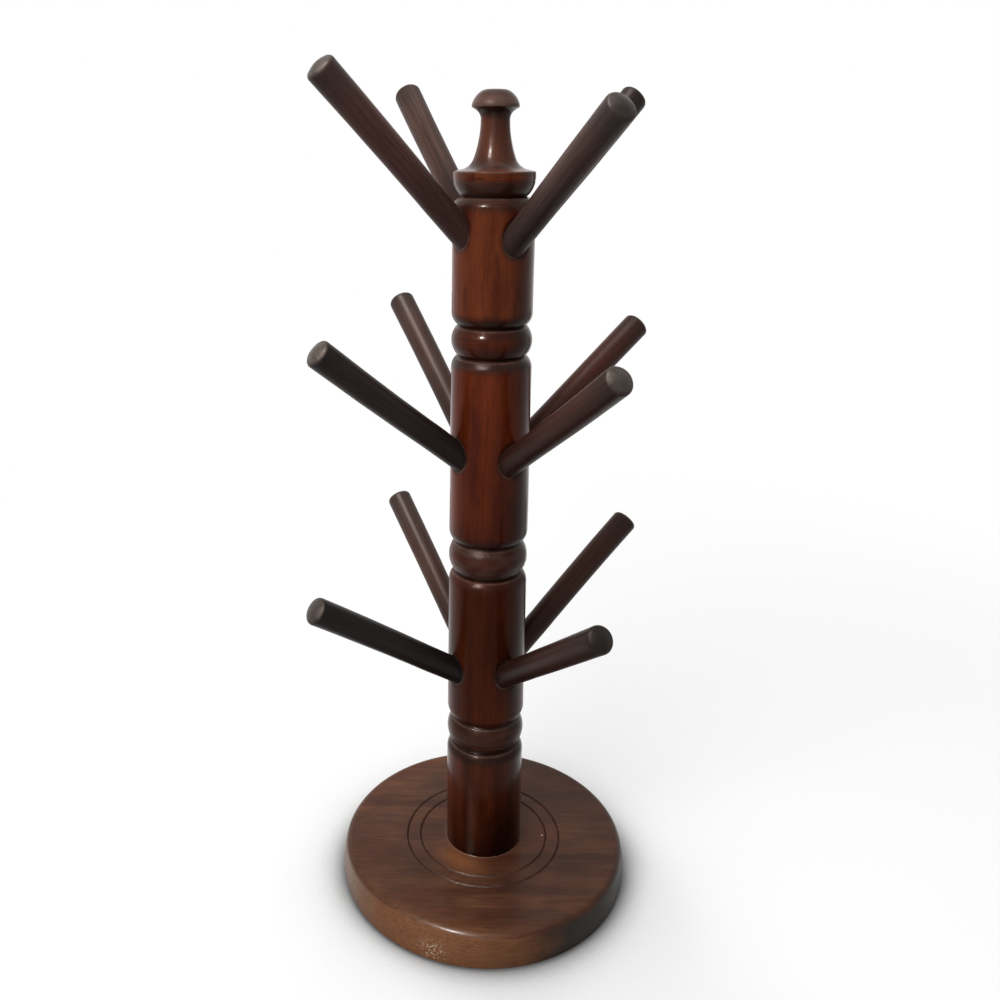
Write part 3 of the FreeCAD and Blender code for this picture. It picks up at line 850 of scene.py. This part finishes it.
def make_base(material):
    rings = level_rings(node_points("base"))
    widest, thick = max(rings)[0], rings[-1][1]
    foot = max(level_rings(node_points("post")))[0]
    outline, outer_ring = base_outline(rings, foot)

    def top_details(radius, left, ragged, height):
        below = np.minimum(height - thick, 0) * np.where(radius < TOP_SHARE * widest, 1, 0)
        in_ring = (below < -0.1 * MM) & (below > -1.5 * MM)
        height = height + np.where(in_ring, RING_RAGGED * ragged, 0)
        above = np.maximum(height - thick, 0)
        height = height - above * (1 - np.clip(0.45 + 0.8 * ragged + 0.65 * np.cos(left - 0.8), 0, 1))
        drift = outer_ring - SLIP_START - SLIP_DRIFT * np.clip(left / SLIP_ANGLE, 0, 1)
        slip = near(radius - drift, SLIP_WIDTH) * rise(left, -0.25, -0.1) * fall(left, 0.45, 0.55)
        on_flat = np.abs(height - thick) < SAME_SIZE
        return height - SLIP_DEPTH * slip * (0.7 + 0.5 * ragged) * on_flat

    def details(radius, angle, height):
        left = leftward(angle)
        circle = (RING_AROUND * np.cos(angle), RING_AROUND * np.sin(angle), RING_ACROSS * radius)
        height = top_details(radius, left, rough_field(np.column_stack(circle)), height)
        lean = EDGE_LEAN + PLANED_DEPTH * near(left - PLANED_ANGLE, PLANED_WIDTH)
        outward = np.clip((radius - TOP_SHARE * widest) / ((1 - TOP_SHARE) * widest), 0, 1)
        radius = radius - lean * outward * np.clip(height / thick, 0, 1) ** LEAN_CURVE
        dent = near(left - CHIP_ANGLE, 0.06) * near(height - CHIP_LEVEL, 2.6 * MM)
        unrolled = (CHIP_SCALE * widest * angle, CHIP_SCALE * height, np.full(len(angle), 3.0))
        chips = np.clip(0.5 + 1.6 * rough_field(np.column_stack(unrolled)), 0, 1.4)
        radius = radius - np.where(radius > SIDE_SHARE * widest, DENT_DEPTH * dent * chips, 0)
        wobble = BASE_WOBBLE * (np.sin(2 * angle) + np.sin(3 * angle + 1) - 2)
        return radius + np.where(radius > SIDE_SHARE * widest, wobble, 0), height

    mesh = turned_mesh("base", refined(outline, *BASE_STEPS), BASE_COLUMNS, details, closed=True)
    paint_base(mesh, widest, thick, foot)
    return new_piece("base", mesh, material)


def paint_base(mesh, widest, thick, foot):
    """Clouds, painted light and amber in the top, dark rings, and a side from painted sheen over amber to
    painted shade.
    """
    points = mesh_points(mesh)
    reach = from_axis(points)
    left = leftward(angle_of(points))
    below_top = thick - points[:, 2]
    grain = np.column_stack([points[:, :2] @ TO_FRONT, points[:, 2], points[:, :2] @ TO_RIGHT])
    right, forward = grain[:, 2] / widest, grain[:, 0] / widest
    # Painted light and shade: lightest at the back left, darkest at the back right
    tone = 1.08 - 0.38 * right + 0.12 * forward + 0.46 * right * forward
    for cloud_right, cloud_forward, size, lighter in CLOUDS:
        tone = tone + lighter * near(np.hypot(right - cloud_right, forward - cloud_forward), size)
    knocked = near(left - CHIP_ANGLE, 0.07) * near(points[:, 2] - CHIP_LEVEL, 4.2 * MM)
    amber = near(reach - foot - AMBER_REACH, AMBER_WIDTH) * near(left - AMBER_ANGLE, AMBER_SPREAD)
    ragged = 0.12 * rough_field(points, 90)
    drop = below_top * (reach > 0.85 * widest)
    on_side = rise(drop + 6 * MM * ragged, 0.8 * MM, 3.0 * MM)
    # Painted light: a paler glow on the top near the front-left edge
    glow = 0.5 * rise(reach, TOP_SHARE * widest, 0.95 * widest) * near(left - 0.35, 0.6)
    edge = near(drop - 1.2 * MM, 1.3 * MM) * rise(drop, 0.02 * MM, 0.5 * MM)
    paint(
        mesh,
        grain=grain,
        tone=tone,
        stain=rise(below_top, 0.05 * MM, 0.45 * MM) * (reach < TOP_SHARE * widest),
        wear=rise(-below_top, 0.05 * MM, 0.2 * MM),
        chips=knocked * (reach > SIDE_SHARE * widest),
        amber=amber * (reach < EDGE_SHARE * widest),
        # Paler amber on the front side with the painted glow, painted sheen on the left side and painted
        # shade on the right
        side=np.maximum(on_side * near(left - 0.45, 0.95), glow),
        ash=on_side * rise(left + ragged, 0.7, 1.25) * fall(left, 2.0, 2.7),
        smoke=on_side * rise(ragged - left, 0.22, 0.6) * fall(-left, 2.0, 2.7),
        edge=edge * (1 - near(left - 0.35, 0.7)) * (0.7 + 2 * ragged),
    )


# Wood

FIBRE_SCALE = (900, 900, 22)
STREAK_SCALE = (170, 170, 6)
PORE_SCALE = (1500, 1500, 70)
BLOTCH_SCALE = (60, 60, 18)
FLECK_SCALE = (260, 260, 55)
LATHE_SCALE = (25, 25, 1300)
DRIFT_SCALE = (16, 16, 5)
HAZE_SCALE = (2400, 2400, 2400)
BUMP_HEIGHT = 0.0003
# How little the year rings change along the fibres
RING_STRETCH = (1.0, 1.0, 0.08)


def wood_figure(tree, ring_pitch, pith, bend):
    """Sockets for the figure of wood whose fibres run along the third axis of its grain vector."""
    grain = attribute(tree, "grain", "Vector")
    drift = soft_noise(grain, DRIFT_SCALE, 2.0, output="Color")
    bent = vector_maths("MULTIPLY_ADD", drift, (bend, bend, bend), grain)
    across = vector_maths("MULTIPLY_ADD", bent, RING_STRETCH, pith)
    from_pith = vector_maths("LENGTH", across, output="Value")
    turns = times(from_pith, 2 * math.pi / ring_pitch)
    return SimpleNamespace(
        rings=ranged(maths("SINE", turns), -1.0, 1.0),
        fibre=soft_noise(bent, FIBRE_SCALE, 4.0, 0.6),
        streak=soft_noise(bent, STREAK_SCALE, 3.0, 0.55),
        pores=ranged(soft_noise(bent, PORE_SCALE, 1.0), 0.6, 0.72),
        blotch=soft_noise(grain, BLOTCH_SCALE, 4.0, 0.55),
        flecks=soft_noise(bent, FLECK_SCALE, 2.0),
        lathe=soft_noise(grain, LATHE_SCALE, 2.0),
        haze=soft_noise(grain, HAZE_SCALE, 2.0),
        grain=grain,
    )


# Of each wood: pitch of the year rings, place of the pith and bend of the fibres
POST_FIGURE = 9.0 * MM, (0.035, -0.02, 0.0), 0.012
POST_CLOUD_SCALE = (130, 130, 42)
POST_DARK, POST_LIGHT = (0.068, 0.0115, 0.0045), (0.175, 0.041, 0.0135)
POST_FIBRE, POST_FLECK = (0.035, 0.006, 0.003), (0.03, 0.006, 0.003)
POST_PORE, POST_LATHE = (0.02, 0.006, 0.004), (0.02, 0.007, 0.005)
POST_STAIN = (0.0085, 0.004, 0.003)
RUBY_FILTER = (1.0, 0.76, 0.66)
# Painted grey sheen over dull lacquer, and worn wood with painted highlights
POST_FILMS = (
    ("dull", 0.62, (0.11, 0.066, 0.053)),
    ("wear", 0.6, (0.19, 0.105, 0.075)),
)


def post_wood_material():
    """Red-brown wood under gloss lacquer, near black in stain and painted shade, with painted sheen and
    highlights.
    """
    material, tree = new_material("post_wood")
    figure = wood_figure(tree, *POST_FIGURE)
    turned = attribute(tree, "turned")
    clouds = soft_noise(figure.grain, POST_CLOUD_SCALE)
    depth = weighed((figure.streak, 0.26), (figure.blotch, 0.4), (clouds, 0.34), (figure.rings, 0.05))
    wood = blend(ranged(depth, 0.34, 0.7), POST_DARK, POST_LIGHT)
    wood = blend(ranged(figure.fibre, 0.3, 0.7, 0.22, 0.0), wood, POST_FIBRE)
    wood = blend(times(ranged(figure.flecks, 0.62, 0.74), 0.35), wood, POST_FLECK)
    wood = blend(times(figure.pores, 0.35), wood, POST_PORE)
    wood = blend(attribute(tree, "ruby"), wood, RUBY_FILTER, "MULTIPLY")
    wood = scaled(wood, attribute(tree, "tone"))
    lines = times(turned, ranged(figure.lathe, 0.35, 0.65, 0.0, 0.5))
    wood = blend(lines, wood, POST_LATHE)
    # Near black in the stain and painted shade, unevenly
    patchy = times(attribute(tree, "stain"), ranged(figure.blotch, 0.25, 0.7, 1.0, 0.86))
    wood = blend(patchy, wood, POST_STAIN)
    lathe = times(turned, figure.lathe)
    height = weighed((figure.fibre, 0.35), (figure.streak, 0.3), (figure.pores, -0.2), (lathe, 0.5))
    satin = times(attribute(tree, "satin"), figure.haze)
    film = weighed((satin, 1.0), (figure.fibre, 0.06), (figure.flecks, 0.1))
    rough = ranged(figure.blotch, 0.3, 0.7, 0.24, 0.36)
    finished({
        "Base Color": stained(wood, POST_FILMS),
        "Roughness": weighed((rough, 1.0), (attribute(tree, "dull"), 0.15)),
        "Specular IOR Level": 0.06,
        "Specular Tint": (0.65, 0.3, 0.2),
        "Coat Weight": attribute(tree, "gloss"),
        "Coat Roughness": 0.13,
        "Coat IOR": 1.15,
        "Coat Normal": bumped(film, 0.6, BUMP_HEIGHT),
        "Normal": bumped(height, 0.3, BUMP_HEIGHT),
    })
    return material


BASE_FIGURE = 13.0 * MM, (0.05, 0.16, 0.0), 0.035
BASE_CLOUD_SCALE = (70, 70, 34)
BASE_RED_SCALE = (38, 38, 17)
BASE_SMOKE_SCALE = (26, 26, 15)
CRUMB_SCALE = (900, 900, 800)
BASE_DARK, BASE_LIGHT = (0.042, 0.0155, 0.009), (0.108, 0.044, 0.023)
BASE_RED, BASE_SMOKE = (0.075, 0.019, 0.009), (0.03, 0.016, 0.012)
BASE_FIBRE, BASE_PALE_FIBRE = (0.024, 0.009, 0.006), (0.15, 0.075, 0.042)
BASE_PORE, BASE_CRUMB = (0.018, 0.008, 0.005), (0.6, 0.48, 0.36)
# Stains and painted sheen under the fibres, and stains with painted shade over them
SIDE_STAINS = (
    ("side", 0.8, (0.25, 0.103, 0.044)),
    ("ash", 0.8, (0.21, 0.145, 0.108)),
)
BASE_STAINS = (
    ("smoke", 0.9, (0.013, 0.013, 0.0105)),
    ("edge", 0.8, (0.026, 0.011, 0.008)),
    ("amber", 0.8, (0.215, 0.08, 0.031)),
    ("stain", 0.7, (0.034, 0.014, 0.009)),
    ("wear", 0.3, (0.21, 0.12, 0.07)),
)
# Pale speck on the top: forward, up and right of the middle, radii over which it fades, and colour
SPECK, SPECK_FADE, SPECK_COLOUR = (0.0028, 0.02, 0.0355), (0.35 * MM, 0.7 * MM), (0.45, 0.38, 0.33)
BASE_BUMP_HEIGHT = 0.0004


def base_wood_material():
    """Brown plank with its grain across the view, worn and patchy."""
    material, tree = new_material("base_wood")
    figure = wood_figure(tree, *BASE_FIGURE)
    clouds = soft_noise(figure.grain, BASE_CLOUD_SCALE)
    depth = weighed((figure.streak, 0.22), (figure.blotch, 0.4), (clouds, 0.34), (figure.rings, 0.06))
    wood = blend(ranged(depth, 0.37, 0.67), BASE_DARK, BASE_LIGHT)
    reddish = ranged(soft_noise(figure.grain, BASE_RED_SCALE, 2.0), 0.48, 0.66)
    wood = blend(times(reddish, 0.55), wood, BASE_RED)
    smoky = ranged(soft_noise(figure.grain, BASE_SMOKE_SCALE), 0.5, 0.72)
    wood = blend(times(smoky, 0.6), wood, BASE_SMOKE)
    wood = scaled(wood, attribute(tree, "tone"))
    wood = stained(wood, SIDE_STAINS)
    wood = blend(ranged(figure.fibre, 0.3, 0.7, 0.34, 0.0), wood, BASE_FIBRE)
    wood = blend(ranged(figure.fibre, 0.55, 0.8, 0.0, 0.24), wood, BASE_PALE_FIBRE)
    wood = blend(times(figure.pores, 0.5), wood, BASE_PORE)
    wood = stained(wood, BASE_STAINS)
    # Pale crumbs in the knocked patch: chipped finish, and painted sparkle of light on it
    crumbs = ranged(soft_noise(figure.grain, CRUMB_SCALE, 3.0, 0.7), 0.54, 0.6)
    wood = blend(times(crumbs, attribute(tree, "chips")), wood, BASE_CRUMB)
    from_speck = vector_maths("DISTANCE", figure.grain, SPECK, output="Value")
    wood = blend(ranged(from_speck, *SPECK_FADE, 1.0, 0.0), wood, SPECK_COLOUR)
    height = weighed((figure.fibre, 0.6), (figure.streak, 0.4), (figure.pores, -0.4))
    matt_rings = times(attribute(tree, "stain"), figure.haze)
    film = weighed((matt_rings, 1.0), (figure.fibre, 0.1))
    finished({
        "Base Color": wood,
        "Roughness": ranged(figure.blotch, 0.3, 0.7, 0.36, 0.52),
        "Specular IOR Level": 0.09,
        "Specular Tint": (0.85, 0.6, 0.45),
        "Coat Weight": 0.3,
        "Coat Roughness": 0.22,
        "Coat IOR": 1.3,
        "Coat Normal": bumped(film, 0.8, BUMP_HEIGHT),
        "Normal": bumped(height, 0.4, BASE_BUMP_HEIGHT),
    })
    return material


PEG_FIGURE = 3.2 * MM, (0.006, 0.004, 0.0), 0.006
PEG_RED_SCALE = (60, 60, 19)
SPECKLE_SCALE = (1300, 1300, 300)
PEG_DARK, PEG_LIGHT = (0.03, 0.015, 0.011), (0.095, 0.047, 0.034)
PEG_RED, PEG_FIBRE = (0.066, 0.02, 0.012), (0.016, 0.008, 0.007)
PEG_PORE = (0.012, 0.007, 0.006)
END_DARK, END_LIGHT = (0.013, 0.01, 0.0085), (0.057, 0.046, 0.04)
PEG_FILMS = (
    ("red", 0.85, (0.105, 0.03, 0.02)),
    ("soot", 0.8, (0.044, 0.041, 0.042)),
)


def peg_wood_material():
    """Dark streaked wood with charcoal end grain."""
    material, tree = new_material("peg_wood")
    figure = wood_figure(tree, *PEG_FIGURE)
    depth = weighed((figure.streak, 0.5), (figure.blotch, 0.45), (figure.rings, 0.05))
    wood = blend(ranged(depth, 0.32, 0.7), PEG_DARK, PEG_LIGHT)
    reddish = ranged(soft_noise(figure.grain, PEG_RED_SCALE, 2.0), 0.5, 0.7)
    wood = blend(times(reddish, 0.4), wood, PEG_RED)
    wood = stained(wood, PEG_FILMS)
    wood = blend(ranged(figure.fibre, 0.3, 0.7, 0.45, 0.0), wood, PEG_FIBRE)
    wood = blend(times(figure.pores, 0.5), wood, PEG_PORE)
    wood = scaled(wood, attribute(tree, "tone"))
    end_grain = blend(soft_noise(figure.grain, SPECKLE_SCALE), END_DARK, END_LIGHT)
    end_grain = scaled(end_grain, attribute(tree, "end_tone"))
    height = weighed((figure.fibre, 0.2), (figure.streak, 0.7), (figure.pores, -0.3))
    finished({
        "Base Color": blend(attribute(tree, "end"), wood, end_grain),
        "Roughness": ranged(figure.streak, 0.3, 0.7, 0.35, 0.48),
        "Specular IOR Level": 0.14,
        "Specular Tint": (0.9, 0.72, 0.64),
        "Normal": bumped(height, 0.22, BUMP_HEIGHT),
    })
    return material


BRUSH_SCALE = (2000, 300, 2000)
STEEL_DARK, STEEL_LIGHT = (0.42, 0.4, 0.37), (0.62, 0.6, 0.56)


def steel_material():
    material, tree = new_material("screw_steel")
    place = add("TexCoord", {}, tree).outputs["Object"]
    brushed = soft_noise(place, BRUSH_SCALE)
    finished({
        "Base Color": blend(brushed, STEEL_DARK, STEEL_LIGHT),
        "Metallic": 1.0,
        "Roughness": ranged(brushed, 0.2, 0.8, 0.3, 0.5),
    })
    return material


# Stage, light and camera

FLOOR_HALF = 12.0
FLOOR_LEVEL = -0.1 * MM
# Shares of open sky between which the floor's shadow fades, and the reach of what shades it
SHADOW_FADE, SHADOW_REACH = (0.48, 1.0), 0.1
SHADOW_GREY, FLOOR_WHITE, BOUNCE_GREY = (0.15,) * 3, (0.95,) * 3, (0.3,) * 3
FLOOR_GLOW = 0.4
# Distances over which the floor becomes plain white
FLOOR_FADE = (0.4, 0.85)
WHITE = (1.0,) * 3
FILL_LIGHT = 0.15
LAMP_AIM = Vector((0.0, 0.0, 0.2))
# Lamps by name: degrees to the left of the camera, degrees up, distance, size and power
SHAPING_LAMPS = {
    "window": (38, 42, 2.6, (2.2, 2.2), 60),
    "side": (140, 10, 2.4, (1.4, 0.9), 46),
    "rear": (-145, 6, 2.4, (1.4, 0.5), 14),
}
LACQUER_LAMPS = {
    "spark": (35, 37, 2.2, (0.3, 0.2), 100),
    "streak": (35, 52, 2.2, (0.14, 1.3), 8),
}
PEG_LAMPS = {
    "sheen": (50, 66, 2.2, (0.9, 0.9), 74),
}
OVERHEAD_LAMP = (0, 89, 2.4, (2.1, 2.1), 19)


def make_lamp(name, aside, elevation, distance, size, power):
    data = bpy.data.lights.new(name, "AREA")
    data.shape = "ELLIPSE"
    data.size, data.size_y = size
    data.energy = power
    lamp = bpy.data.objects.new(name, data)
    away = toward_camera(math.radians(aside), math.radians(elevation), distance)
    lamp.location = away + LAMP_AIM
    lamp.rotation_euler = away.to_track_quat("Z", "Y").to_euler()
    lamp.visible_camera = False
    bpy.context.scene.collection.objects.link(lamp)
    return lamp


def light_up(lacquered, satin_pegs):
    """Broad lamps that shape the pieces, and lamps that only make highlights."""
    for name, settings in SHAPING_LAMPS.items():
        make_lamp(name, *settings).visible_glossy = False
    for lamps, receivers in ((LACQUER_LAMPS, lacquered), (PEG_LAMPS, satin_pegs)):
        for name, settings in lamps.items():
            lamp = make_lamp(name, *settings)
            lamp.visible_diffuse = False
            lamp.light_linking.receiver_collection = receivers
    make_lamp("overhead", *OVERHEAD_LAMP)


def seen_directly(tree):
    """1 for what the camera sees, also by reflection and through glass."""
    path = add("LightPath", {}, tree).outputs
    seen = maths("MAXIMUM", path["Is Camera Ray"], path["Is Glossy Ray"])
    return maths("MAXIMUM", seen, path["Is Transmission Ray"])


def floor_material():
    material, tree = new_material("floor_white")
    seen = seen_directly(tree)
    occlusion = add("AmbientOcclusion", {"Distance": SHADOW_REACH}, tree, samples=8)
    open_sky = ranged(occlusion.outputs["AO"], *SHADOW_FADE)
    shown = blend(open_sky, SHADOW_GREY, FLOOR_WHITE)
    pale = blend(seen, BOUNCE_GREY, shown)
    lit = add("BsdfDiffuse", {"Color": pale}).outputs[0]
    bright = blend(open_sky, SHADOW_GREY, WHITE)
    glow = add("Emission", {"Color": bright, "Strength": seen}).outputs[0]
    close = add("MixShader", {0: FLOOR_GLOW, 1: lit, 2: glow}).outputs[0]
    far = add("Emission", {"Color": WHITE, "Strength": seen}).outputs[0]
    place = add("TexCoord", {}, tree).outputs["Object"]
    distance = vector_maths("LENGTH", place, output="Value")
    farness = ranged(distance, *FLOOR_FADE)
    mixed = add("MixShader", {0: farness, 1: close, 2: far})
    add("OutputMaterial", {"Surface": mixed.outputs[0]})
    return material


def make_floor():
    mesh = bpy.data.meshes.new("floor")
    signs = ((-1, -1), (1, -1), (1, 1), (-1, 1))
    corners = [(x * FLOOR_HALF, y * FLOOR_HALF, FLOOR_LEVEL) for x, y in signs]
    mesh.from_pydata(corners, [], [(0, 1, 2, 3)])
    mesh.materials.append(floor_material())
    floor = bpy.data.objects.new("floor", mesh)
    bpy.context.scene.collection.objects.link(floor)


def make_world():
    """White where it is seen, and a soft fill otherwise."""
    world = bpy.data.worlds.new("studio")
    bpy.context.scene.world = world
    world.use_nodes = True
    tree = world.node_tree
    tree.nodes.clear()
    strength = ranged(seen_directly(tree), 0.0, 1.0, FILL_LIGHT, 1.0)
    background = add("Background", {"Color": WHITE, "Strength": strength})
    add("OutputWorld", {"Surface": background.outputs[0]})


def make_camera():
    data = bpy.data.cameras.new("camera")
    data.lens = CAMERA_LENS
    data.shift_x, data.shift_y = CAMERA_SHIFT
    camera = bpy.data.objects.new("camera", data)
    camera.location = CAMERA_PLACE
    turn = Euler((CAMERA_TILT, 0.0, CAMERA_HEADING)).to_matrix() @ Matrix.Rotation(CAMERA_ROLL, 3, "Z")
    camera.rotation_euler = turn.to_euler()
    bpy.context.scene.collection.objects.link(camera)
    bpy.context.scene.camera = camera


post_wood = post_wood_material()
peg_wood = peg_wood_material()
lacquered = bpy.data.collections.new("lacquered")
satin_pegs = bpy.data.collections.new("satin_pegs")
for piece in (make_base(base_wood_material()), make_post(post_wood), make_finial(post_wood)):
    lacquered.objects.link(piece)
for index, node in enumerate(PEG_NODES):
    peg = make_peg(node, index, peg_wood)
    if node not in MATT_PEGS:
        satin_pegs.objects.link(peg)
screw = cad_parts["base_screw"]
screw.data.materials.clear()
screw.data.materials.append(steel_material())

make_floor()
make_world()
light_up(lacquered, satin_pegs)
make_camera()
bpy.context.scene.view_settings.view_transform = "Standard"
